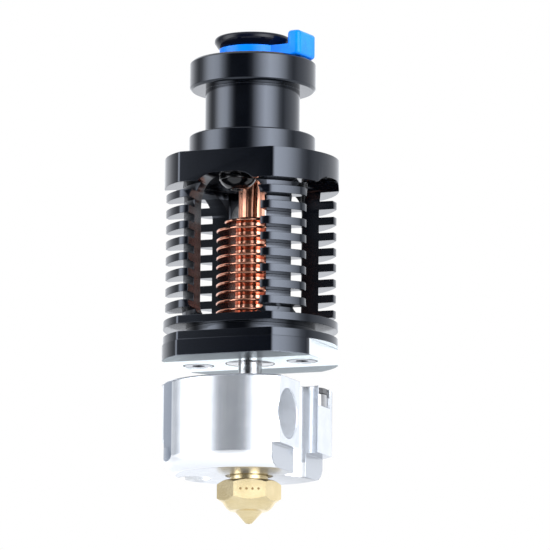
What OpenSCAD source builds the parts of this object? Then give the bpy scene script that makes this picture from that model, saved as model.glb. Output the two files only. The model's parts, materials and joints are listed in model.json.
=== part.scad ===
// Groove-mount hotend for a filament printer, in millimetres.
// Origin: centre of the groove neck, on the filament axis. +Z runs up the axis, away from the nozzle.
// The front flat of the heatsink faces -Y, and the heater bore opens towards +X.

/* [Groove mount] */
// Radius of the two mounting flanges
flange_r = 8; // [7:0.1:8.5]
// Height of the top flange
top_flange_h = 3.7; // [3:0.1:5]
// Radius of the groove neck
neck_r = 6; // [5.5:0.1:6.5]
// Height of the groove neck
neck_h = 6; // [5:0.1:7]
// Height of the lower flange
low_flange_h = 3; // [2:0.1:4]

/* [Cage] */
// Outer radius of the cap and of the two base rings
cap_r = 11.05; // [10.8:0.05:12]
// Height of the cap
cap_h = 3.85; // [3:0.05:5]
// Distance from the axis to the front and back flats
front_flat = 9.25; // [9:0.05:9.6]
// Outer radius of the cage fins
fin_r = 10.95; // [10.5:0.05:11.5]
// Distance from the axis to the four flats of the fins
fin_flat = 9.3; // [9:0.05:9.8]
// Number of cage fins
fin_count = 8; // [6:1:10]
// Thickness of a fin, and of the gap beside it
fin_t = 1.0; // [0.8:0.05:1.1]
// Outer radius of the corner pillars
pillar_r = 8.75; // [8.4:0.05:9.2]
// Radius of the inner space
cavity_r = 7; // [6.5:0.1:7.5]
// Width of each of the four windows
window_w = 9.65; // [8:0.05:10]
// How far the windows and the inner space rise into the cap
window_rise = 0.95; // [0.5:0.05:1.5]

/* [Base] */
// Height of the lower base ring
low_ring_h = 1.05; // [1:0.05:1.5]
// Radius of the floor between the two rings
ring_root_r = 8.2; // [8.1:0.05:9]
// Outer radius of the base plate
plate_r = 11.2; // [10.8:0.05:12]
// Thickness of the base plate
plate_h = 2.05; // [2:0.05:2.5]
// Distance from the axis to the plate's front and back flats
plate_flat_y = 9.4; // [9:0.05:10]
// Distance from the axis to the plate's side flats
plate_flat_x = 9.95; // [9.6:0.05:10.4]
// Distance from the axis to each plate screw
screw_x = 7; // [6.9:0.05:7.1]
// Distance from the axis to each screw that holds the groove mount
mount_screw_y = 4.9; // [4.8:0.05:5]

/* [Core] */
// Radius of the copper column
core_r = 2; // [1.8:0.05:2.2]
// Radius of the copper fins
core_fin_r = 4.4; // [4:0.05:4.5]
// Number of full copper fins
core_fin_count = 11; // [8:1:11]
// Spacing of the copper fins
core_pitch = 1.16; // [1.1:0.01:1.16]
// Thickness of a copper fin
core_fin_t = 0.35; // [0.3:0.05:0.6]

/* [Hot end] */
// Radius of the thin tube between the plate and the block
tube_r = 1.5; // [1.4:0.05:1.6]
// Gap between the base plate and the heater block
hot_gap = 2.8; // [2:0.1:4]
// Radius of the heater block
block_r = 11; // [10.5:0.1:11.5]
// Height of the heater block
block_h = 11.5; // [11:0.1:12]
// Radius of the heater cartridge bore
heater_r = 3.05; // [3:0.01:3.1]
// Distance from the axis to the heater cartridge bore
heater_y = 5.3; // [5.25:0.05:5.5]
// Radius of the thermistor bore
thermistor_r = 1.55; // [1.5:0.01:1.6]
// Width of the nozzle's hexagon across its flats
hex_af = 7; // [6:0.1:8]

/* [Tube coupling] */
// Radius of the hole for the filament tube
tube_hole_r = 2.1; // [2.05:0.01:2.2]
// Outer radius of the collet's flange
collet_flange_r = 4.9; // [4.4:0.1:5.2]
// Direction of the clip's tab, in degrees from +X
clip_angle = -6.7; // [-20:0.1:20]

/* [Hidden] */
$fn = 96;
eps = 0.01;

// Colours
anodised = [0.05, 0.055, 0.07];
steel = [0.72, 0.73, 0.75];
black_steel = [0.12, 0.12, 0.13];
copper = [0.78, 0.42, 0.28];
plated = [0.86, 0.87, 0.89];
brass = [0.85, 0.72, 0.42];

// Heights of the heatsink, from the top down
z_top = neck_h / 2 + top_flange_h;
z_low_flange = -neck_h / 2;
z_cap = z_low_flange - low_flange_h;
z_cage = z_cap - cap_h;
z_ring1 = z_cage - (2 * fin_count + 1) * fin_t;
z_ring1_low = z_ring1 - fin_t;
z_ring2 = z_ring1_low - fin_t;
z_plate = z_ring2 - low_ring_h;
z_plate_low = z_plate - plate_h;
z_ceiling = z_cage + window_rise;
edge = 0.3;
window_top_corner = 3.6;
window_low_corner = 2;

// Core and heatbreak
core_top = -2.5;
spindle_r = 1.8;
core_hole_r = spindle_r + 0.05;
rib_top = z_ceiling - 0.05;
rib_low = z_cage - 3.65;
rib_core_r = 1.2;
rib_w = 0.9;
rib_turn = 54.3;
small_fin_r = 3.4;
small_fin_z = rib_low - 0.5;
first_fin_z = small_fin_z - 1.15;
filament_r = 1.0;
core_flange_r = 5.5;
core_flange_h = 0.9;
floor_hole_r = core_fin_r + 0.15;
spigot_r = 1.45;
spigot_top = z_plate + 8;
heatbreak_boss_r = 3.0;

// Heater block
z_block = z_plate_low - hot_gap;
z_block_low = z_block - block_h;
block_fillet = 2;
z_ledge = z_block_low + 3;
z_left_ledge = z_block_low + 4.2;
z_heater = z_block_low + 6.95;
heater_end = -6.2;
lower_flat_x = 6.5;
front_jaw_x = 7.3;
rear_jaw_x = 8.4;
left_flat_x = 9.17;
facet_angle = -139.3;
facet_dist = 10.91;
z_facet = z_ledge + 0.15;
driver_r = 2.1;
driver_right = [6.75, 0.75];
driver_left = [-7.3, 0.1];
thread_r = 3;
thread_gap = 0.03;
heatbreak_thread_r = 1.9;
z_joint = z_block - 6.9;
thermistor_end = 4.4;

// Screws
plate_head_r = 1.9;
plate_head_h = 1.55;
m2_r = 1.0;
m3_r = 1.5;
screw_gap = 0.03;
mount_head_r = 2.3;
mount_head_rim = 0.4;
mount_head_dome = 1.2;
mount_flat_r = 1.05;
mount_shank_r = 1.25;
mount_shank_top = z_low_flange - 0.4;
mount_socket_h = 0.9;
small_hex_af = 1.5;
heater_screw_xy = [2.5, -heater_y];
heater_screw_h = 1.95;
thermistor_screw_xy = [0, 7.6];
thermistor_screw_h = 2.85;
lead_xy = [6.7, 4.9];
lead_pocket_r = 1.85;
lead_slot_y = [2, 6.3];
lead_wall = 0.18;
z_lead = z_block_low + 9.05;
lead_collar_h = 1.65;
lead_head_r = 1.7;
lead_head_h = 0.75;
lead_shank_h = 4.5;

// Nozzle, heights above the tip
nozzle_drop = 6;
z_tip = z_block_low - nozzle_drop;
hex_turn = -67.5;
hex_corner_r = hex_af / 2 / cos(30);
hex_low = 3.15;
hex_high = 4.9;
hex_cone_h = 0.53;
shoulder_r = 3.3;
nozzle_neck_r = 2.4;
nozzle_relief = 0.5;
orifice_r = 0.2;

// Tube coupling
coupling_r = 4;
coupling_low = 1.2;
coupling_top = z_top - 0.1;
throat_r = 3.3;
throat_h = 1.2;
chamber_r = 3.75;
collet_neck_r = 3.05;
collet_flange_low = z_top + 1.65;
collet_top = collet_flange_low + 1.5;
collet_rim_low_r = 4.45;
leg_low = 1.9;
leg_bulge_r = 3.35;
slot_w = 0.9;
clip_low = z_top + 0.1;
clip_h = 1.45;
clip_r = 4.5;
clip_slot_w = 6.5;
tab_w = 4.7;
tab_in = 6;
tab_out = 7.84;
tab_corner = 0.6;
tab_top = z_top + 3.3;

// Solid of revolution between two heights
module disc(r, low, high) {
    translate([0, 0, low]) cylinder(r = r, h = high - low);
}

// Disc with a small chamfer at both rims
module edged_disc(r, low, high, c) {
    rotate_extrude()
        polygon([[0, low], [r - c, low], [r, low + c], [r, high - c], [r - c, high], [0, high]]);
}

// Disc cut by flats at x = +-fx and y = +-fy
module flatted_disc(r, low, high, fx, fy) {
    intersection() {
        disc(r, low, high);
        translate([-fx, -fy, low - eps]) cube([2 * fx, 2 * fy, high - low + 2 * eps]);
    }
}

// Outline of a window: width w, from low to high, with round corners
module window_outline(w, low, high, r_low, r_high) {
    difference() {
        translate([-w / 2, low]) square([w, high - low]);
        for (side = [-1, 1]) {
            translate([side * w / 2, low]) corner_square(r_low, side, 1);
            translate([side * w / 2, high]) corner_square(r_high, side, -1);
        }
    }
}

// What a round corner of radius r takes off a square corner at the origin
module corner_square(r, side, up) {
    difference() {
        square(2 * r, center = true);
        translate([-side * r, up * r]) circle(r = r);
    }
}

// Hexagon socket of width af across its flats, from height z down to z - depth
module hex_socket(af, z, depth) {
    translate([0, 0, z - depth]) cylinder(r = af / 2 / cos(30), h = depth + eps, $fn = 6);
}

// The two places of the screws that hold the groove mount
module at_mount_screws() {
    for (side = [-1, 1])
        translate([0, side * mount_screw_y, 0]) children();
}

// Flange, groove neck and lower flange, in one turned piece
module groove_adapter() {
    color(anodised)
    difference() {
        union() {
            edged_disc(flange_r, neck_h / 2, z_top, edge);
            disc(neck_r, z_low_flange - eps, neck_h / 2 + eps);
            edged_disc(flange_r, z_cap, z_low_flange, 0.15);
        }
        disc(coupling_r, coupling_low, z_top + eps);
        disc(tube_hole_r, core_top, coupling_low + eps);
        disc(core_hole_r, z_cap - eps, core_top + eps);
        at_mount_screws() disc(mount_shank_r + screw_gap, z_cap - eps, mount_shank_top + 0.1);
    }
}

// Outside of the cage: cap, fins, pillars and the two base rings
module cage_outside() {
    flatted_disc(cap_r, z_cage, z_cap - 0.01, cap_r, front_flat);
    disc(pillar_r, z_ring1 - eps, z_cage + eps);
    for (i = [1 : fin_count]) {
        low = z_cage - 2 * i * fin_t;
        flatted_disc(fin_r, low, low + fin_t, fin_flat, fin_flat);
    }
    flatted_disc(cap_r, z_ring1_low, z_ring1, cap_r, front_flat);
    disc(ring_root_r, z_ring2 - eps, z_ring1_low + eps);
    flatted_disc(cap_r, z_plate, z_ring2, cap_r, front_flat);
}

// The four windows, cut as two openings through the cage
module windows() {
    for (a = [0, 90])
        rotate([0, 0, a]) rotate([90, 0, 0])
            linear_extrude(height = 3 * cap_r, center = true)
                window_outline(window_w, z_ring1, z_ceiling, window_low_corner, window_top_corner);
}

module heatsink_body() {
    color(anodised)
    difference() {
        cage_outside();
        windows();
        disc(cavity_r, z_ring1, z_ceiling);
        disc(core_hole_r, z_ceiling - eps, z_cap + eps);
        at_mount_screws() disc(mount_shank_r + 0.15, z_ceiling - eps, z_cap + eps);
        disc(floor_hole_r, z_plate - eps, z_ring1 + eps);
        disc(core_flange_r + 0.1, z_plate - eps, z_plate + 1);
        for (side = [-1, 1])
            translate([side * screw_x, 0, 0]) disc(m2_r, z_plate - eps, z_plate + 2.9);
    }
}

// Button-head socket screw, head down under the cage's ceiling, on the Z axis
module mount_screw() {
    z_rim = z_ceiling - 0.02 - mount_head_rim;
    z_low = z_rim - mount_head_dome;
    below_rim = (mount_head_r^2 - mount_flat_r^2 - mount_head_dome^2) / (2 * mount_head_dome);
    difference() {
        union() {
            disc(mount_head_r, z_rim - eps, z_ceiling - 0.02);
            rotate_extrude() intersection() {
                translate([0, z_rim + below_rim])
                    circle(r = sqrt(mount_head_r^2 + below_rim^2));
                translate([0, z_low]) square([mount_head_r, mount_head_dome]);
            }
            disc(mount_shank_r, z_rim, mount_shank_top);
        }
        translate([0, 0, z_low - eps])
            cylinder(r = small_hex_af / 2 / cos(30), h = mount_socket_h, $fn = 6);
    }
}

module mount_screw_front() {
    color(black_steel) translate([0, -mount_screw_y, 0]) mount_screw();
}

module mount_screw_back() {
    color(black_steel) translate([0, mount_screw_y, 0]) mount_screw();
}

module base_plate() {
    color(anodised)
    difference() {
        flatted_disc(plate_r, z_plate_low, z_plate, plate_flat_x, plate_flat_y);
        disc(heatbreak_boss_r + 0.05, z_plate_low - eps, z_plate + eps);
        for (side = [-1, 1])
            translate([side * screw_x, 0, 0]) {
                disc(m2_r + 0.1, z_plate_low - eps, z_plate + eps);
                disc(plate_head_r + 0.08, z_plate_low - eps, z_plate_low + plate_head_h + 0.05);
            }
    }
}

// Countersunk-flush socket screw, head down, on the Z axis
module plate_screw() {
    difference() {
        union() {
            edged_disc(plate_head_r, z_plate_low, z_plate_low + plate_head_h, 0.12);
            disc(m2_r - screw_gap, z_plate_low + plate_head_h - eps, z_plate + 2.7);
        }
        translate([0, 0, z_plate_low - eps])
            cylinder(r = small_hex_af / 2 / cos(30), h = 1 + eps, $fn = 6);
    }
}

module plate_screw_left() {
    color(black_steel) translate([-screw_x, 0, 0]) plate_screw();
}

module plate_screw_right() {
    color(black_steel) translate([screw_x, 0, 0]) plate_screw();
}

// Ribbed neck of the core: a round centre with four straight ribs
module rib_outline() {
    circle(r = rib_core_r);
    intersection() {
        circle(r = spindle_r - 0.05);
        for (a = [rib_turn, rib_turn + 90])
            rotate(a) square([2 * core_r, rib_w], center = true);
    }
}

module copper_core() {
    color(copper)
    difference() {
        union() {
            disc(spindle_r, rib_top - eps, core_top - 0.02);
            translate([0, 0, rib_low - eps]) linear_extrude(height = rib_top - rib_low + 2 * eps)
                rib_outline();
            disc(core_r, z_plate + 0.05, rib_low);
            edged_disc(small_fin_r, small_fin_z - core_fin_t / 2, small_fin_z + core_fin_t / 2, 0.1);
            for (i = [0 : core_fin_count - 1]) {
                z = first_fin_z - i * core_pitch;
                edged_disc(core_fin_r, z - core_fin_t / 2, z + core_fin_t / 2, 0.1);
            }
            disc(core_flange_r, z_plate + 0.05, z_plate + 0.05 + core_flange_h);
        }
        disc(filament_r, spigot_top - eps, core_top + eps);
        disc(spigot_r, z_plate - eps, spigot_top);
    }
}

module heatbreak() {
    color(steel)
    difference() {
        union() {
            disc(spigot_r - 0.01, z_plate + 0.04, spigot_top - 0.02);
            disc(heatbreak_boss_r, z_plate_low, z_plate + 0.04);
            disc(tube_r, z_block - eps, z_plate_low + eps);
            disc(heatbreak_thread_r - thread_gap, z_joint, z_block);
        }
        disc(filament_r, z_joint - eps, z_plate + 20);
    }
}

// Outside of the heater block: a round block with a fillet at its lower rim
module block_outside() {
    rotate_extrude() {
        translate([0, z_block_low + block_fillet])
            square([block_r, block_h - block_fillet - 0.2]);
        translate([0, z_block_low]) square([block_r - block_fillet, block_h]);
        translate([block_r - block_fillet, z_block_low + block_fillet]) circle(r = block_fillet);
        polygon([[0, z_block - 0.2 - eps], [block_r, z_block - 0.2 - eps], [block_r - 0.2, z_block],
                 [0, z_block]]);
    }
}

// Box that reaches outwards from x, between two y values and two heights
module side_cut(x, y0, y1, low, high) {
    translate([x, y0, low]) cube([block_r, y1 - y0, high - low]);
}

module block_flats() {
    below = z_block_low - 1;
    above = z_block + 1;
    side_cut(lower_flat_x, -block_r, block_r, below, z_ledge);
    side_cut(front_jaw_x, -block_r, driver_right[1], z_ledge - eps, above);
    side_cut(rear_jaw_x, driver_right[1] - eps, block_r, z_ledge - eps, above);
    mirror([1, 0, 0]) side_cut(left_flat_x, -block_r, block_r, below, z_left_ledge);
    rotate([0, 0, facet_angle]) side_cut(facet_dist, -4, 4, z_facet, above);
    // Slope under the rear jaw
    translate([rear_jaw_x, driver_right[1], z_ledge]) rotate([0, 45, 0])
        cube([1, block_r, 1], center = false);
}

// Pocket of the lead clamp, open towards +X, with a thin wall round the driver passage
module lead_pocket() {
    difference() {
        union() {
            translate([lead_xy[0], lead_xy[1], 0]) disc(lead_pocket_r, z_lead, z_block + 1);
            translate([lead_xy[0], lead_slot_y[0], z_lead])
                cube([block_r, lead_slot_y[1] - lead_slot_y[0], block_h]);
        }
        translate([driver_right[0], driver_right[1], 0])
            disc(driver_r + lead_wall, z_lead - 1, z_block + 2 * block_h);
    }
}

module heater_block() {
    color(plated)
    difference() {
        block_outside();
        block_flats();
        for (p = [driver_right, driver_left])
            translate([p[0], p[1], 0]) disc(driver_r, z_block_low - 1, z_block + 1);
        // Nozzle thread, heatbreak thread, heater bore and thermistor bore
        disc(thread_r, z_block_low - 1, z_joint);
        disc(heatbreak_thread_r, z_joint - eps, z_block + 1);
        translate([heater_end, -heater_y, z_heater]) rotate([0, 90, 0])
            cylinder(r = heater_r, h = 2 * block_r);
        translate([front_jaw_x - 0.25, -heater_y, z_heater]) rotate([0, 90, 0])
            cylinder(r1 = heater_r, r2 = heater_r + 0.2, h = 0.3);
        translate([0, thermistor_end, z_heater]) rotate([-90, 0, 0])
            cylinder(r = thermistor_r, h = block_r);
        // Screw holes
        translate([heater_screw_xy[0], heater_screw_xy[1], 0]) disc(m3_r, z_heater, z_block + 1);
        translate([thermistor_screw_xy[0], thermistor_screw_xy[1], 0])
            disc(m3_r, z_heater, z_block + 1);
        translate([lead_xy[0], lead_xy[1], 0]) disc(m2_r, z_lead - lead_shank_h, z_lead + eps);
        lead_pocket();
    }
}

// Headless socket screw at a place, from height low up to high
module set_screw(at, low, high) {
    translate([at[0], at[1], 0])
        difference() {
            edged_disc(m3_r - screw_gap, low, high, 0.2);
            hex_socket(small_hex_af, high, 1.1);
        }
}

module heater_set_screw() {
    low = z_heater + heater_r + 0.05;
    color(black_steel) set_screw(heater_screw_xy, low, low + heater_screw_h);
}

module thermistor_set_screw() {
    low = z_heater + thermistor_r + 0.05;
    color(black_steel) set_screw(thermistor_screw_xy, low, low + thermistor_screw_h);
}

module lead_clamp_screw() {
    z_head = z_lead + lead_collar_h;
    color(black_steel) translate([lead_xy[0], lead_xy[1], 0])
        difference() {
            union() {
                edged_disc(lead_head_r, z_head + 0.02, z_head + lead_head_h, 0.1);
                disc(m2_r - screw_gap, z_lead - lead_shank_h + 0.3, z_head + 0.03);
            }
            hex_socket(small_hex_af, z_head + lead_head_h, 0.5);
        }
}

module lead_clamp_collar() {
    color(steel) translate([lead_xy[0], lead_xy[1], 0])
        difference() {
            edged_disc(lead_head_r - 0.03, z_lead + 0.01, z_lead + lead_collar_h, 0.08);
            disc(m2_r + 0.05, z_lead - 1, z_lead + lead_collar_h + 1);
        }
}

// Hexagon of the nozzle, with both rims turned to a cone
module nozzle_hex() {
    intersection() {
        rotate([0, 0, hex_turn + 30]) cylinder(r = hex_corner_r, h = nozzle_drop, $fn = 6);
        rotate_extrude()
            polygon([[0, hex_low - hex_cone_h], [shoulder_r, hex_low - hex_cone_h],
                     [hex_corner_r + 0.02, hex_low],
                     [hex_corner_r + 0.02, hex_high], [3.35, hex_high + 0.45],
                     [0, hex_high + 0.45]]);
    }
}

// Row of punched dots on the nozzle's front face
module size_dots() {
    rotate([0, 0, hex_turn])
        for (i = [-1.5 : 1 : 1.5])
            translate([hex_af / 2 - 0.1, 0.75 * i, (hex_low + hex_high) / 2])
                rotate([0, 90, 0]) cylinder(r = 0.16, h = 1);
}

module nozzle() {
    color(brass) translate([0, 0, z_tip])
    difference() {
        union() {
            nozzle_hex();
            rotate_extrude()
                polygon([[0, 0], [0.35, 0], [0.46, 0.1], [1.75, 1.5], [2.4, 1.6], [2.85, 1.95],
                         [3.15, 2.35], [shoulder_r, hex_low - hex_cone_h], [shoulder_r, hex_low],
                         [0, hex_low]]);
            disc(nozzle_neck_r, hex_high, nozzle_drop + nozzle_relief);
            disc(thread_r - thread_gap, nozzle_drop + nozzle_relief - eps, z_joint - z_tip - 0.01);
        }
        size_dots();
        disc(orifice_r, -eps, 2);
        rotate_extrude() polygon([[0, 0.6], [orifice_r, 0.6], [filament_r, 1.6], [0, 1.6]]);
        disc(filament_r, 1.6 - eps, 20);
    }
}

module coupling_insert() {
    color(brass)
    difference() {
        edged_disc(coupling_r - 0.02, coupling_low + 0.02, coupling_top, 0.1);
        disc(throat_r, coupling_low, z_top);
        rotate_extrude()
            polygon([[0, coupling_low], [chamber_r, coupling_low], [chamber_r, coupling_low + 1.2],
                     [throat_r, coupling_top - throat_h], [0, coupling_top - throat_h]]);
    }
}

module collet() {
    color(black_steel)
    difference() {
        rotate_extrude() difference() {
            union() {
                translate([0, leg_low]) square([collet_neck_r, collet_top - leg_low]);
                polygon([[0, leg_low], [leg_bulge_r - 0.2, leg_low], [leg_bulge_r, leg_low + 0.3],
                         [leg_bulge_r, leg_low + 1.2], [collet_neck_r, leg_low + 2],
                         [0, leg_low + 2]]);
                polygon([[0, collet_flange_low], [collet_rim_low_r - 0.2, collet_flange_low],
                         [collet_rim_low_r, collet_flange_low + 0.15],
                         [collet_flange_r, collet_top - 0.7], [collet_flange_r, collet_top - 0.45],
                         [collet_flange_r - 0.45, collet_top], [0, collet_top]]);
                translate([collet_flange_r - 0.45, collet_top - 0.45]) circle(r = 0.45);
            }
            translate([-1, 0]) square([1 + tube_hole_r, 20]);
            polygon([[0, collet_top - 0.5], [tube_hole_r, collet_top - 0.5],
                     [tube_hole_r + 0.5, collet_top + eps], [0, collet_top + eps]]);
        }
        for (a = [0, 90])
            rotate([0, 0, a + 45])
                translate([-5, -slot_w / 2, leg_low - 1]) cube([10, slot_w, 4.6]);
    }
}

// One gripping blade, in the leg that faces +X
module tooth() {
    translate([2.55, 0, leg_low + 0.75]) rotate([0, 18, 0]) cube([1.15, 1.5, 0.22], center = true);
}

module collet_teeth() {
    color(steel)
        for (a = [0 : 90 : 270])
            rotate([0, 0, a]) tooth();
}

// Rectangle with round corners, from x0 to x1 and w wide about the x axis
module round_rectangle(x0, x1, w, r) {
    translate([x0, r - w / 2]) square([x1 - x0, w - 2 * r]);
    translate([x0 + r, -w / 2]) square([x1 - x0 - 2 * r, w]);
    for (x = [x0 + r, x1 - r])
        for (y = [r - w / 2, w / 2 - r])
            translate([x, y]) circle(r = r);
}

module collet_clip() {
    color([0.02, 0.42, 0.95]) rotate([0, 0, clip_angle])
    difference() {
        union() {
            disc(clip_r, clip_low, clip_low + clip_h);
            translate([0, -tab_w / 2, clip_low])
                cube([tab_out - tab_corner, tab_w, clip_h - eps]);
            translate([0, 0, clip_low]) linear_extrude(height = tab_top - clip_low)
                round_rectangle(tab_in, tab_out, tab_w, tab_corner);
        }
        disc(clip_slot_w / 2, clip_low - 1, clip_low + clip_h + 1);
        translate([-2 * clip_r, -clip_slot_w / 2, clip_low - 1])
            cube([2 * clip_r, clip_slot_w, clip_h + 2]);
    }
}

groove_adapter();
heatsink_body();
mount_screw_front();
mount_screw_back();
base_plate();
plate_screw_left();
plate_screw_right();
copper_core();
heatbreak();
heater_block();
nozzle();
heater_set_screw();
thermistor_set_screw();
lead_clamp_screw();
lead_clamp_collar();
coupling_insert();
collet();
collet_teeth();
collet_clip();
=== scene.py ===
import json
import math
import bmesh
import bpy
from mathutils import Matrix, Vector


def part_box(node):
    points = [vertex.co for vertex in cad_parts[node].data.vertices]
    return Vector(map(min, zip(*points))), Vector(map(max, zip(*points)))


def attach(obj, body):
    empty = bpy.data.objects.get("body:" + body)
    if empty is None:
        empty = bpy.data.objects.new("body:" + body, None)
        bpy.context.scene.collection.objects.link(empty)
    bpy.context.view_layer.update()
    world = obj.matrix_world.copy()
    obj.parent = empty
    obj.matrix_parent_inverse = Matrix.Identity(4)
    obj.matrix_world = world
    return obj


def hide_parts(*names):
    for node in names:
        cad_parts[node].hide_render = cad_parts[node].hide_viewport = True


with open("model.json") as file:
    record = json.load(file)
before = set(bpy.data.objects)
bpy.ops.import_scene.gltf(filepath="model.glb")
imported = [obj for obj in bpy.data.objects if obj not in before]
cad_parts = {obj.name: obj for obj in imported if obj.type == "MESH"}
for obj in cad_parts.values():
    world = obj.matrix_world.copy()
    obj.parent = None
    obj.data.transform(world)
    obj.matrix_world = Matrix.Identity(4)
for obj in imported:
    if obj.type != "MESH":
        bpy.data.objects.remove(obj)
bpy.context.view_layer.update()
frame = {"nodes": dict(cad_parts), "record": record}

MM = 0.001
NODES = frame["nodes"]
RECORD = frame["record"]
BEHAVIOUR = RECORD["behaviour"]
BODY_OF = {node: body for body, nodes in BEHAVIOUR["bodies"].items() for node in nodes}
SLOT_OF = {row["node"]: row["material_slot"] for row in RECORD["subparts"]}
MOUNTS = {row["name"]: row for row in RECORD["mounts"]}
JOINTS = {row["name"]: row for row in BEHAVIOUR["joints"]}


def box_mm(node):
    """Lowest and highest corner of a node's box, in millimetres."""
    low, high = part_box(node)
    return low / MM, high / MM


# ---------------------------------------------------------------- camera
CAMERA_AZIMUTH = math.radians(21.3313)   # towards +X from the object's front, which faces -Y
CAMERA_RISE = math.radians(9.4049)       # the camera stands low and looks up by this much
CAMERA_ROLL = math.radians(-0.503)
CAMERA_PLACE_MM = Vector((254.07, -642.28, -135.0))
LENS_MM = 362.7
SENSOR_MM = 36.0


def add_camera():
    data = bpy.data.cameras.new("camera")
    data.lens = LENS_MM
    data.sensor_width = SENSOR_MM
    data.clip_start = 0.01
    data.clip_end = 20.0
    level = Vector((-math.sin(CAMERA_AZIMUTH), math.cos(CAMERA_AZIMUTH), 0))
    view = level * math.cos(CAMERA_RISE) + Vector((0, 0, math.sin(CAMERA_RISE)))
    right = view.cross(Vector((0, 0, 1))).normalized()
    up = right.cross(view)
    roll = Matrix.Rotation(CAMERA_ROLL, 3, view)
    right, up = roll @ right, roll @ up
    facing = Matrix([(right[i], up[i], -view[i]) for i in range(3)]).to_4x4()
    camera = bpy.data.objects.new("camera", data)
    bpy.context.collection.objects.link(camera)
    camera.matrix_world = Matrix.Translation(CAMERA_PLACE_MM * MM) @ facing
    bpy.context.scene.camera = camera


add_camera()


# ---------------------------------------------------------------- node helpers
class Tree:
    """Short calls for building one node tree. A mask is a value that is 1 inside an area and 0 outside."""

    def __init__(self, tree):
        self.tree = tree
        tree.nodes.clear()

    def put(self, socket, value):
        if isinstance(value, bpy.types.NodeSocket):
            self.tree.links.new(value, socket)
        elif value is not None:
            socket.default_value = value

    def add(self, kind, inputs=None, **settings):
        node = self.tree.nodes.new(kind)
        for key, value in settings.items():
            setattr(node, key, value)
        for key, value in (inputs or {}).items():
            self.put(node.inputs[key], value)
        return node

    def math(self, operation, a, b=None):
        node = self.add("ShaderNodeMath", operation=operation)
        for socket, value in zip(node.inputs, (a, b)):
            self.put(socket, value)
        return node.outputs[0]

    def plus(self, a, b):
        return self.math("ADD", a, b)

    def times(self, a, b):
        return self.math("MULTIPLY", a, b)

    def either(self, a, b):
        return self.math("MAXIMUM", a, b)

    def outside(self, mask):
        return self.math("SUBTRACT", 1.0, mask)

    def size(self, value):
        return self.math("ABSOLUTE", value)

    def below(self, value, limit):
        return self.math("LESS_THAN", value, limit)

    def above(self, value, limit):
        return self.math("GREATER_THAN", value, limit)

    def between(self, value, low, high, to_low=0.0, to_high=1.0):
        """A soft step: value's way from low to high becomes the way from to_low to to_high."""
        node = self.add("ShaderNodeMapRange", {"Value": value, "From Min": low, "From Max": high,
                                               "To Min": to_low, "To Max": to_high})
        node.interpolation_type = "SMOOTHSTEP"
        return node.outputs[0]

    def spread(self, noise, to_low, to_high):
        """A noise's usual range, spread over another."""
        return self.between(noise, 0.3, 0.7, to_low, to_high)

    def patches(self, noise):
        """A noise, sharpened into patches."""
        return self.between(noise, 0.35, 0.65)

    def mix(self, factor, a, b):
        """A colour between a and b, each of them a socket or three numbers."""
        node = self.add("ShaderNodeMix", data_type="RGBA")
        self.put(node.inputs[0], factor)
        for place, colour in ((6, a), (7, b)):
            self.put(node.inputs[place], (*colour, 1) if isinstance(colour, tuple) else colour)
        return node.outputs[2]

    def noise(self, vector, scale, detail, roughness=0.5):
        node = self.add("ShaderNodeTexNoise", {"Vector": vector, "Scale": scale, "Detail": detail,
                                               "Roughness": roughness})
        return node.outputs["Fac"]

    def axes(self, vector):
        parts = self.add("ShaderNodeSeparateXYZ", {"Vector": vector})
        return parts.outputs["X"], parts.outputs["Y"], parts.outputs["Z"]

    def point(self, x, y):
        return self.add("ShaderNodeCombineXYZ", {"X": x, "Y": y, "Z": 0.0}).outputs[0]

    def distance(self, u, v, centre=(0.0, 0.0)):
        """Distance of the point (u, v) from a centre in the same plane."""
        du, dv = self.math("SUBTRACT", u, centre[0]), self.math("SUBTRACT", v, centre[1])
        return self.math("SQRT", self.plus(self.times(du, du), self.times(dv, dv)))

    def reach(self, mm, bearing):
        """How far a point lies along a level direction, given by its angle from +X."""
        way = (math.cos(bearing), math.sin(bearing), 0.0)
        return self.add("ShaderNodeVectorMath", {0: mm, 1: way}, operation="DOT_PRODUCT").outputs["Value"]

    def grey_ramp(self, value, stops):
        node = self.add("ShaderNodeValToRGB", {"Fac": value})
        elements = node.color_ramp.elements
        while len(elements) > 1:
            elements.remove(elements[-1])
        for i, (place, level) in enumerate(stops):
            stop = elements[0] if i == 0 else elements.new(place)
            stop.position = place
            stop.color = (level, level, level, 1)
        return node.outputs["Color"]


# ---------------------------------------------------------------- light
# The studio's brightness by angle from the camera, positive to the right: two softboxes with a dark flag
# between them, and a pale room behind the object
AROUND = [
    (-180, 1.35), (-140, 1.25), (-127, 0.75), (-117, 0.4), (-107, 0.7), (-98, 2.2), (-88, 4.4), (-78, 5.2),
    (-66, 4.9), (-56, 2.2), (-47, 0.45), (-41, 0.08), (-10, 0.05), (-2, 0.35), (8, 2.4), (18, 4.9),
    (32, 7.6), (46, 6.2), (60, 3.4), (70, 1.2), (80, 0.5), (92, 0.9), (112, 1.15), (140, 1.25), (180, 1.35),
]
OVERHEAD = 1.1
OVERHEAD_FROM, OVERHEAD_FULL = 0.45, 0.8
STUDIO_TINT = (0.965, 0.99, 1.04, 1)


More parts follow.
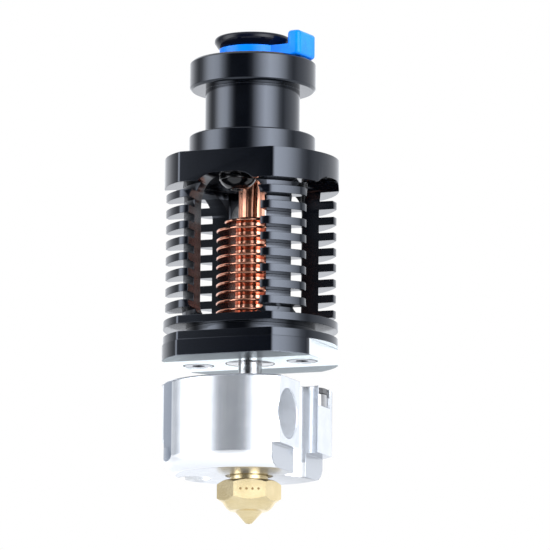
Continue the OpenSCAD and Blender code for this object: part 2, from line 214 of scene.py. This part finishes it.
def add_light():
    """A world of soft light round the object; the camera itself sees plain white."""
    world = bpy.data.worlds.new("studio")
    world.use_nodes = True
    bpy.context.scene.world = world
    t = Tree(world.node_tree)
    direction = t.add("ShaderNodeTexCoord").outputs["Generated"]
    turned = t.add("ShaderNodeVectorRotate", {"Vector": direction, "Angle": -CAMERA_AZIMUTH},
                   rotation_type="Z_AXIS").outputs[0]
    x, y, height = t.axes(turned)
    bearing = t.math("ARCTAN2", x, t.times(y, -1.0))
    bearing = t.plus(t.math("DIVIDE", bearing, 2 * math.pi), 0.5)
    peak = max(level for _, level in AROUND)
    sides = t.grey_ramp(bearing, [((angle + 180.0) / 360.0, level / peak) for angle, level in AROUND])
    overhead = t.between(height, OVERHEAD_FROM, OVERHEAD_FULL)
    level = t.add("ShaderNodeMix", {0: overhead, 2: t.times(sides, peak), 3: OVERHEAD}).outputs[0]
    soft = t.add("ShaderNodeBackground", {"Color": STUDIO_TINT, "Strength": level})
    plain = t.add("ShaderNodeBackground", {"Color": (1.0, 1.0, 1.0, 1), "Strength": 1.0})
    seen = t.add("ShaderNodeLightPath").outputs["Is Camera Ray"]
    both = t.add("ShaderNodeMixShader", {0: seen, 1: soft.outputs[0], 2: plain.outputs[0]})
    t.add("ShaderNodeOutputWorld", {"Surface": both.outputs[0]})
    bpy.context.scene.view_settings.view_transform = "Standard"
    bpy.context.scene.view_settings.look = "None"


add_light()

# ---------------------------------------------------------------- floor
FLOOR_Z = -0.45
FLOOR_HALF = 1.125


def add_floor():
    """A plain pale floor, well below the object, as the camera looks up at it."""
    corners = [(-FLOOR_HALF, -FLOOR_HALF), (FLOOR_HALF, -FLOOR_HALF), (FLOOR_HALF, FLOOR_HALF),
               (-FLOOR_HALF, FLOOR_HALF)]
    mesh = bpy.data.meshes.new("floor")
    mesh.from_pydata([(x, y, FLOOR_Z) for x, y in corners], [], [(0, 1, 2, 3)])
    pale = bpy.data.materials.new("pale_floor")
    pale.use_nodes = True
    t = Tree(pale.node_tree)
    shader = t.add("ShaderNodeBsdfPrincipled", {"Base Color": (0.62, 0.63, 0.64, 1), "Roughness": 0.8,
                                                "Emission Color": (1, 1, 1, 1), "Emission Strength": 0.06})
    t.add("ShaderNodeOutputMaterial", {"Surface": shader.outputs[0]})
    mesh.materials.append(pale)
    floor = bpy.data.objects.new("floor", mesh)
    bpy.context.collection.objects.link(floor)


add_floor()


# ---------------------------------------------------------------- material helpers
SOCKETS = {"base": "Base Color", "rough": "Roughness", "metal": "Metallic", "normal": "Normal",
           "specular": "Specular IOR Level", "ior": "IOR", "tint": "Specular Tint"}


def start(name):
    """A new material, its tree, and the object's own coordinates in millimetres."""
    material = bpy.data.materials.new(name)
    material.use_nodes = True
    t = Tree(material.node_tree)
    coords = t.add("ShaderNodeTexCoord").outputs["Object"]
    scale = (1 / MM, 1 / MM, 1 / MM)
    mm = t.add("ShaderNodeVectorMath", {0: coords, 1: scale}, operation="MULTIPLY").outputs[0]
    return material, t, mm


def end(t, **inputs):
    """The shader, with its inputs under the short names of SOCKETS."""
    shader = t.add("ShaderNodeBsdfPrincipled")
    for key, value in inputs.items():
        t.put(shader.inputs[SOCKETS[key]], value)
    t.add("ShaderNodeOutputMaterial", {"Surface": shader.outputs[0]})


def turning(t, mm, pitch):
    """Fine rings that a lathe leaves: they depend on radius and height only."""
    x, y, z = t.axes(mm)
    return t.noise(t.point(t.distance(x, y), z), pitch, 3.0, 0.7)


def bump(t, height, strength, distance_mm, normal=None):
    node = t.add("ShaderNodeBump", {"Height": height, "Strength": strength, "Distance": distance_mm * MM})
    t.put(node.inputs["Normal"], normal)
    return node.outputs[0]


def cloudy(t, mm, colour_a, colour_b, scale=0.5, detail=3.0):
    """A base colour that drifts a little over the piece."""
    return t.mix(t.patches(t.noise(mm, scale, detail)), colour_a, colour_b)


# ---------------------------------------------------------------- black anodising
# The cage's windows in mm: half their width, their lower edge, and the ceiling's underside
WINDOW_HALF = 4.825
WINDOW_LOW = -26.85
CAGE_TOP = -9.85
# The turned outside's gloss starts beyond the fins' inner part; nearer the axis the reflection is turned
# down, as painted shade
INNER_SHADE_R, GLOSSY_R = 7.2, 8.4
# The plate's underside: a bare strip across its middle, with soft sides, and the seam round the heatbreak
STRIP_FULL, STRIP_END = 4.3, 4.7
BOSS_SEAM_R = 3.17

ANODISED_GLOSS = 0.46
ANODISED_IOR = 1.55
ANODISED_TINT = (0.92, 1.0, 1.15, 1)
BARE_ALUMINIUM = (0.86, 0.86, 0.88)


def anodised(t, mm, ring_marks, grain_marks):
    """Colour, roughness and normal of glossy black anodising over turned metal."""
    grain = t.noise(mm, 9.0, 4.0, 0.6)
    rings = turning(t, mm, pitch=16.0)
    base = cloudy(t, mm, (0.0006, 0.0010, 0.0020), (0.0012, 0.0017, 0.0030), scale=0.35, detail=2.0)
    rough = t.plus(t.spread(rings, 0.09, 0.13), t.spread(grain, -0.01, 0.02))
    normal = bump(t, rings, ring_marks, 0.002)
    return base, rough, bump(t, grain, grain_marks, 0.002, normal)


def black_anodised():
    material, t, mm = start("black_anodised")
    base, rough, normal = anodised(t, mm, ring_marks=0.12, grain_marks=0.10)
    end(t, base=base, rough=rough, metal=0.0, specular=ANODISED_GLOSS, ior=ANODISED_IOR, normal=normal,
        tint=ANODISED_TINT)
    return material


def cage_anodised():
    """The cage's anodising: rougher inside the windows, with its reflection turned down there and near the
    axis as painted shade, and bare above the plate's side flats.
    """
    material, t, mm = start("cage_anodised")
    x, y, z = t.axes(mm)
    base, rough, normal = anodised(t, mm, ring_marks=0.04, grain_marks=0.03)
    nearer = t.math("MINIMUM", t.size(x), t.size(y))
    window = t.times(t.below(z, CAGE_TOP - 0.05), t.above(z, WINDOW_LOW + 0.05))
    inside = t.times(t.below(nearer, WINDOW_HALF + 0.04), window)
    rough = t.plus(rough, t.times(inside, 0.17))
    # Painted shade: the reflection fades near the axis and drops further inside the windows
    gloss = t.between(t.distance(x, y), INNER_SHADE_R, GLOSSY_R, 0.2, ANODISED_GLOSS)
    gloss = t.times(gloss, t.outside(t.times(inside, 0.55)))
    low = box_mm("heatsink_body")[0].z
    side = box_mm("base_plate")[1].x
    bare = t.times(t.below(z, low + 0.03), t.above(t.size(x), side - 0.2))
    base = t.mix(bare, base, BARE_ALUMINIUM)
    end(t, base=base, rough=rough, metal=t.times(bare, 0.5), specular=gloss, ior=ANODISED_IOR, normal=normal,
        tint=ANODISED_TINT)
    return material


def plate_anodised():
    """Black anodising with the bare, freshly cut bands of the plate's underside and side faces, and a grey
    band on the underside beside them, painted as a reflection of the heater block's top face.
    """
    material, t, mm = start("plate_anodised")
    x, y, z = t.axes(mm)
    grain = t.noise(mm, 9.0, 4.0, 0.6)
    rings = turning(t, mm, pitch=12.0)
    low, high = box_mm("base_plate")
    under = t.below(z, low.z + 0.06)
    strip = t.between(t.size(y), STRIP_END, STRIP_FULL)
    flat = t.above(t.size(x), high.x - 0.02)
    seam = t.times(under, t.below(t.distance(x, y), BOSS_SEAM_R))
    bare = t.times(t.either(t.times(under, strip), flat), t.outside(seam))
    # band: the underside beyond the bare strip, painted grey and partly metallic as a painted reflection of
    # the heater block's top face
    band = t.times(under, t.outside(strip))
    base = t.mix(band, (0.001, 0.0015, 0.003), (0.15, 0.16, 0.18))
    base = t.mix(bare, base, BARE_ALUMINIUM)
    cut = t.mix(band, t.spread(rings, 0.16, 0.24), t.spread(rings, 0.30, 0.38))
    rough = t.mix(t.either(bare, band), t.spread(rings, 0.09, 0.13), cut)
    normal = bump(t, rings, 0.12, 0.002)
    normal = bump(t, grain, 0.10, 0.002, normal)
    end(t, base=base, rough=rough, metal=t.either(bare, t.times(band, 0.7)), specular=0.42, ior=ANODISED_IOR,
        normal=normal, tint=ANODISED_TINT)
    return material


# ---------------------------------------------------------------- bare and plated metal
# The block in mm: its round wall, the height of its pale rim and of the jaws' feet, the driver passage on
# the left, and one dull flat, given by its bearing and its distance from the axis
BLOCK_R = 11.0
RIM_H = 2.0
FOOT_H = 3.0
JAW_X = 6.42
PASSAGE_LEFT = (-7.3, 0.1)
PASSAGE_R = 2.1
DARK_FLAT_BEARING = math.radians(-139.3)
DARK_FLAT = 10.91

# Row of punched dots on the nozzle: bearing of their flat, its distance from the axis, and where the row lies
DOTS_BEARING = math.radians(-67.5)
DOTS_FLAT = 3.5
DOTS_HALF_ROW = 1.35
DOTS_ABOVE_TIP = 4.025
DOTS_HALF_H = 0.2

# Heads of the plate screws: radius of the socket, and where the painted shade round the rim starts
SOCKET_R = 0.9
RIM_R = 1.78


def metal_surface(t, mm, pitch, rough_low, rough_high, marks, depth):
    """Roughness and normal of machined metal: lathe rings over a fine grain."""
    rings = turning(t, mm, pitch)
    grain = t.noise(mm, 14.0, 4.0, 0.6)
    rough = t.plus(t.spread(rings, rough_low, rough_high), t.spread(grain, -0.02, 0.03))
    normal = bump(t, rings, marks, depth)
    return rough, bump(t, grain, 0.08, 0.002, normal)


def turned_metal(name, colour_a, colour_b, pitch, marks):
    """Bright turned metal."""
    material, t, mm = start(name)
    base = cloudy(t, mm, colour_a, colour_b)
    rough, normal = metal_surface(t, mm, pitch, 0.14, 0.22, marks, 0.003)
    end(t, base=base, rough=rough, metal=1.0, normal=normal)
    return material


def upright_streaks(t, x, y, z):
    """Mask of faint upright streaks on the block's round wall."""
    round_wall = t.point(t.times(t.math("ARCTAN2", y, x), BLOCK_R), t.times(z, 0.02))
    streak = t.patches(t.noise(round_wall, 1.6, 3.0, 0.6))
    return t.times(streak, t.between(t.distance(x, y), BLOCK_R - 0.3, BLOCK_R - 0.1, 0.0, 0.22))


def block_plating():
    """Satin nickel: faint streaks, a paler rim, a bore and driver passage painted pale as painted light, an
    underside painted darker towards +X as painted shade, and one dark flat.
    """
    material, t, mm = start("plated_block")
    x, y, z = t.axes(mm)
    low = box_mm("heater_block")[0].z
    base = cloudy(t, mm, (0.68, 0.70, 0.73), (0.63, 0.655, 0.69))
    base = t.mix(upright_streaks(t, x, y, z), base, (0.34, 0.37, 0.42))
    # The round lower edge is paler than the wall, and the feet of the two jaws beside it are duller
    rim = t.times(t.between(z, low + RIM_H, low + RIM_H - 0.25), t.above(z, low + 0.02))
    rim = t.times(rim, t.below(x, JAW_X))
    base = t.mix(rim, base, (0.86, 0.87, 0.88))
    foot = t.times(t.below(z, low + FOOT_H), t.above(x, JAW_X))
    base = t.mix(foot, base, (0.45, 0.47, 0.50))
    # The underside is painted darker towards +X, as painted shade
    under = t.times(t.below(z, low + 0.02), t.between(x, -3.0, 6.0, 0.25, 1.0))
    base = t.mix(under, base, (0.30, 0.31, 0.33))
    # The heater bore and the driver passage are painted pale and less metallic inside, as painted light in
    # their hollows
    bore = MOUNTS["heater_bore"]
    bore_x, bore_y, bore_z = (value / MM for value in bore["pos_m"])
    painted_light_bore = t.times(t.below(t.distance(y, z, (bore_y, bore_z)), bore["dims"]["r_mm"] + 0.03),
                     t.above(x, bore_x - bore["dims"]["length_mm"] / 2 - 0.2))
    base = t.mix(painted_light_bore, base, (0.66, 0.68, 0.71))
    passage = t.below(t.distance(x, y, PASSAGE_LEFT), PASSAGE_R + 0.02)
    base = t.mix(passage, base, (0.92, 0.93, 0.94))
    dark_flat = t.between(t.reach(mm, DARK_FLAT_BEARING), DARK_FLAT - 0.05, DARK_FLAT - 0.01)
    base = t.mix(dark_flat, base, (0.17, 0.20, 0.25))
    # pale: the bore and passage, painted pale as painted light, and the paler rim; all of them are made less
    # metallic
    pale = t.either(t.either(painted_light_bore, passage), t.times(rim, 0.6))
    rough, normal = metal_surface(t, mm, 5.0, 0.21, 0.25, 0.03, 0.003)
    end(t, base=base, rough=rough, metal=t.between(pale, 0.0, 1.0, 0.78, 0.4), normal=normal)
    return material


def nozzle_brass():
    """Turned brass, a little dull, and darker in the punched dots."""
    material, t, mm = start("brass")
    base = cloudy(t, mm, (0.81, 0.67, 0.395), (0.74, 0.60, 0.335))
    out = t.reach(mm, DOTS_BEARING)
    across = t.size(t.reach(mm, DOTS_BEARING + math.pi / 2))
    from_row = t.size(t.math("SUBTRACT", t.axes(mm)[2], box_mm("nozzle")[0].z + DOTS_ABOVE_TIP))
    sunk = t.times(t.between(out, DOTS_FLAT - 0.01, DOTS_FLAT - 0.03), t.above(out, DOTS_FLAT - 0.5))
    row = t.times(t.below(from_row, DOTS_HALF_H), t.below(across, DOTS_HALF_ROW))
    base = t.mix(t.times(sunk, row), base, (0.36, 0.24, 0.10))
    rough, normal = metal_surface(t, mm, 18.0, 0.20, 0.28, 0.18, 0.004)
    end(t, base=base, rough=rough, metal=0.92, normal=normal)
    return material


def plate_screw_steel():
    """Brushed steel heads of the two plate screws, with painted shade in the socket and round the rim."""
    material, t, mm = start("plate_screw_steel")
    x, y, z = t.axes(mm)
    low, high = box_mm("plate_screw_right")
    radius = t.distance(t.size(x), y, ((low.x + high.x) / 2, 0.0))
    socket = t.times(t.below(radius, SOCKET_R), t.above(z, low.z + 0.05))
    # dark: the hex socket and the rim's edge, painted near black as painted shade
    dark = t.either(socket, t.above(radius, RIM_R))
    base = t.mix(dark, (0.40, 0.41, 0.44), (0.004, 0.005, 0.007))
    grain = t.noise(mm, 14.0, 4.0, 0.6)
    end(t, base=base, rough=t.spread(grain, 0.2, 0.3), metal=t.outside(dark),
        specular=t.between(dark, 0.0, 1.0, 0.5, 0.1), normal=bump(t, grain, 0.1, 0.002))
    return material


# ---------------------------------------------------------------- oxide and plastic
def oxide(name, colour_a, colour_b, rough_low, rough_high, ior, marks):
    """Black oxide on steel: grainy and without a metal's own reflection."""
    material, t, mm = start(name)
    base = cloudy(t, mm, colour_a, colour_b, scale=1.5, detail=2.0)
    grain = t.noise(mm, 12.0, 4.0, 0.65)
    end(t, base=base, rough=t.spread(grain, rough_low, rough_high), metal=0.0, specular=0.5, ior=ior,
        normal=bump(t, grain, marks, 0.004))
    return material


def moulded(name, colour_a, colour_b, rough_low, rough_high, specular):
    """Moulded plastic with a faint, fine texture."""
    material, t, mm = start(name)
    base = cloudy(t, mm, colour_a, colour_b, scale=0.6, detail=2.0)
    grain = t.noise(mm, 7.0, 4.0, 0.6)
    end(t, base=base, rough=t.spread(grain, rough_low, rough_high), metal=0.0, specular=specular, ior=1.48,
        normal=bump(t, grain, 0.2, 0.004))
    return material


MATERIALS = {
    "black_anodised": black_anodised(),
    "cage_anodised": cage_anodised(),
    "plate_anodised": plate_anodised(),
    "copper": turned_metal("copper", (0.84, 0.42, 0.29), (0.70, 0.31, 0.20), pitch=20.0, marks=0.12),
    "stainless": turned_metal("stainless", (0.48, 0.48, 0.485), (0.41, 0.41, 0.415), pitch=18.0, marks=0.18),
    "plated_block": block_plating(),
    "brass": nozzle_brass(),
    "plate_screw_steel": plate_screw_steel(),
    "black_steel": oxide("black_steel", (0.018, 0.018, 0.02), (0.035, 0.034, 0.036), 0.28, 0.42, 1.9, 0.3),
    "black_screw": oxide("black_screw", (0.0015, 0.0017, 0.002), (0.003, 0.003, 0.0035), 0.10, 0.15, 1.5,
                         0.12),
    "black_plastic": moulded("black_plastic", (0.002, 0.003, 0.008), (0.003, 0.004, 0.010), 0.08, 0.14, 0.22),
    "blue_plastic": moulded("blue_plastic", (0.001, 0.18, 0.84), (0.002, 0.21, 0.90), 0.2, 0.28, 0.18),
}
# Nodes whose material is a finer one than their slot's
FINISH = {
    "base_plate": "plate_anodised", "heatsink_body": "cage_anodised",
    "mount_screw_front": "black_screw", "mount_screw_back": "black_screw",
    "plate_screw_left": "plate_screw_steel", "plate_screw_right": "plate_screw_steel",
}


# ---------------------------------------------------------------- rounded pieces
MERGE_MM = 0.002                         # closer points become one
FLAT_ANGLE = math.radians(0.4)           # faces that turn less than this become one flat face
ROUNDED_ANGLE = math.radians(35.0)       # edges that turn more than this are rounded
CREASE_ANGLE = math.radians(30.0)        # edges that turn more than this stay crisp in the shading
SHORT_EDGE_MM = 0.03                     # shorter edges, on the rims of tiny holes, stay sharp
LEVEL = 0.999                            # a face is level when its normal is this close to upright

# Width of the round edges in mm, and how many steps they have
BEVELS = {
    "groove_adapter": (0.07, 2), "heatsink_body": (0.06, 2), "mount_screw_front": (0.05, 2),
    "mount_screw_back": (0.05, 2), "copper_core": (0.04, 2), "heatbreak": (0.06, 2),
    "heater_block": (0.08, 2), "base_plate": (0.06, 2), "plate_screw_left": (0.04, 2),
    "plate_screw_right": (0.04, 2), "heater_set_screw": (0.04, 2), "thermistor_set_screw": (0.04, 2),
    "lead_clamp_screw": (0.04, 2), "lead_clamp_collar": (0.03, 2), "coupling_insert": (0.05, 2),
    "collet": (0.04, 2), "collet_teeth": (0.02, 2), "collet_clip": (0.45, 5),
}

# The clip in mm, outwards from the axis: its ring ends, its tab starts, and the tab has its full width
CLIP_WAY = Vector(JOINTS["clip_slide"]["axis"])
RING_END = 3.6
TAB_START = 5.9
TAB_SOLID = 6.65
NECK_HALF_W = 2.45
NECK_TOP = box_mm("collet_clip")[0].z + 1.5


def clip_share(middle):
    """The clip's tab is rounded generously, its thin ring only a little, and its neck not at all."""
    along = middle.dot(CLIP_WAY)
    across = abs(middle.cross(CLIP_WAY).z)
    if along > TAB_SOLID or (along > TAB_START and middle.z > NECK_TOP):
        return 1.0
    if along > RING_END and across < NECK_HALF_W:
        return 0.0
    return 0.2


def weigh_edges(work, share):
    """Marks the edges to round. share gives an outer edge's part of the rounding from its middle in mm."""
    weight = work.edges.layers.float.new("bevel_weight_edge")
    for edge in work.edges:
        if edge.calc_face_angle(0.0) <= ROUNDED_ANGLE or edge.calc_length() <= SHORT_EDGE_MM * MM:
            continue
        if not share:
            edge[weight] = 1.0
        elif edge.is_convex:
            edge[weight] = share((edge.verts[0].co + edge.verts[1].co) / 2 / MM)


def cleaned_mesh(node, share):
    """A copy of a CAD node's mesh with merged flat faces and marked edges."""
    work = bmesh.new()
    work.from_mesh(NODES[node].data)
    bmesh.ops.remove_doubles(work, verts=work.verts, dist=MERGE_MM * MM)
    bmesh.ops.dissolve_limit(work, angle_limit=FLAT_ANGLE, use_dissolve_boundaries=False, verts=work.verts,
                             edges=work.edges)
    if not share:
        # Ring-shaped level faces are split, so that none of them spans its own hole
        work.normal_update()
        level = [face for face in work.faces if len(face.verts) > 4 and abs(face.normal.z) > LEVEL]
        bmesh.ops.connect_verts_concave(work, faces=level)
    bmesh.ops.recalc_face_normals(work, faces=work.faces)
    weigh_edges(work, share)
    mesh = bpy.data.meshes.new(node + "_finished")
    work.to_mesh(mesh)
    work.free()
    return mesh


def apply_modifiers(piece):
    """The modifiers' result becomes the mesh."""
    graph = bpy.context.evaluated_depsgraph_get()
    made = bpy.data.meshes.new_from_object(piece.evaluated_get(graph))
    piece.modifiers.clear()
    piece.data = made


def keep_inside(piece, box):
    """No vertex of a piece leaves the box of the node it stands for."""
    low, high = box
    for vertex in piece.data.vertices:
        for axis in range(3):
            vertex.co[axis] = min(max(vertex.co[axis], low[axis]), high[axis])


def shade(piece):
    """Smooth shading with crisp edges. Merged and level faces are plane, so they stay flat."""
    for face in piece.data.polygons:
        face.use_smooth = len(face.vertices) <= 4 and abs(face.normal.z) < LEVEL
    piece.data.set_sharp_from_angle(angle=CREASE_ANGLE)
    flatten = piece.modifiers.new("flat_faces", "WEIGHTED_NORMAL")
    flatten.keep_sharp = True
    flatten.weight = 100
    apply_modifiers(piece)


def rounded_piece(node, width_mm, steps, share=None):
    """A piece that stands for a CAD node: the same surface with small round edges."""
    piece = bpy.data.objects.new(node + "_finished", cleaned_mesh(node, share))
    bpy.context.collection.objects.link(piece)
    rounding = piece.modifiers.new("edges", "BEVEL")
    rounding.width = width_mm * MM
    rounding.segments = steps
    rounding.limit_method = "WEIGHT"
    rounding.use_clamp_overlap = False
    rounding.miter_outer = "MITER_ARC"
    apply_modifiers(piece)
    keep_inside(piece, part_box(node))
    shade(piece)
    piece.data.materials.clear()
    piece.data.materials.append(MATERIALS[FINISH.get(node, SLOT_OF[node])])
    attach(piece, BODY_OF[node])
    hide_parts(node)


SHARES = {"collet_clip": clip_share}
for node_name, (edge_width, edge_steps) in BEVELS.items():
    rounded_piece(node_name, edge_width, edge_steps, SHARES.get(node_name))

# The nozzle keeps its CAD mesh, whose small marks are too fine to round
NODES["nozzle"].data.materials.clear()
NODES["nozzle"].data.materials.append(MATERIALS["brass"])

# ---------------------------------------------------------------- knurling of the lead clamp screw
KNURL_TEETH = 34
KNURL_ROWS = 4
KNURL_DEPTH = 0.11
KNURL_OUT = 0.07                         # how far the knurling stands out from the head
KNURL_WALL = 0.25
KNURL_BELOW_TOP = 0.08
KNURL_H = 0.58


def knurl_verts(centre, radius, low, high):
    """Rows of points round the crossed grooves, then the plain inner wall's upper and lower row."""
    around = KNURL_TEETH * 4
    rows = [(low + (high - low) * row / KNURL_ROWS, row) for row in range(KNURL_ROWS + 1)]
    rows += [(high, None), (low, None)]
    verts = []
    for z, row in rows:
        for i in range(around):
            r = radius - KNURL_WALL
            if row is not None:
                wave = sum(abs((i / 4.0 + way * row / 2.0) % 1.0 - 0.5) for way in (1, -1))
                r = radius - KNURL_DEPTH * wave
            angle = 2 * math.pi * i / around
            point = Vector((centre.x + r * math.cos(angle), centre.y + r * math.sin(angle), z))
            verts.append(point * MM)
    return verts


def ring_faces(around, loops):
    """Quads between each loop of points and the next, and from the last back to the first."""
    faces = []
    for loop in range(loops):
        here, there = loop * around, ((loop + 1) % loops) * around
        for i in range(around):
            j = (i + 1) % around
            faces.append((here + i, here + j, there + j, there + i))
    return faces


def knurled_band(name, node):
    """Diamond knurling round a screw's head: a closed ring whose outer face is cut by crossed grooves."""
    low, high = box_mm(node)
    top = high.z - KNURL_BELOW_TOP
    radius = (high.x - low.x) / 2 + KNURL_OUT
    mesh = bpy.data.meshes.new(name)
    mesh.from_pydata(knurl_verts((low + high) / 2, radius, top - KNURL_H, top), [],
                     ring_faces(KNURL_TEETH * 4, KNURL_ROWS + 3))
    mesh.materials.append(MATERIALS[SLOT_OF[node]])
    piece = bpy.data.objects.new(name, mesh)
    bpy.context.collection.objects.link(piece)
    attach(piece, BODY_OF[node])


knurled_band("lead_clamp_knurl", "lead_clamp_screw")
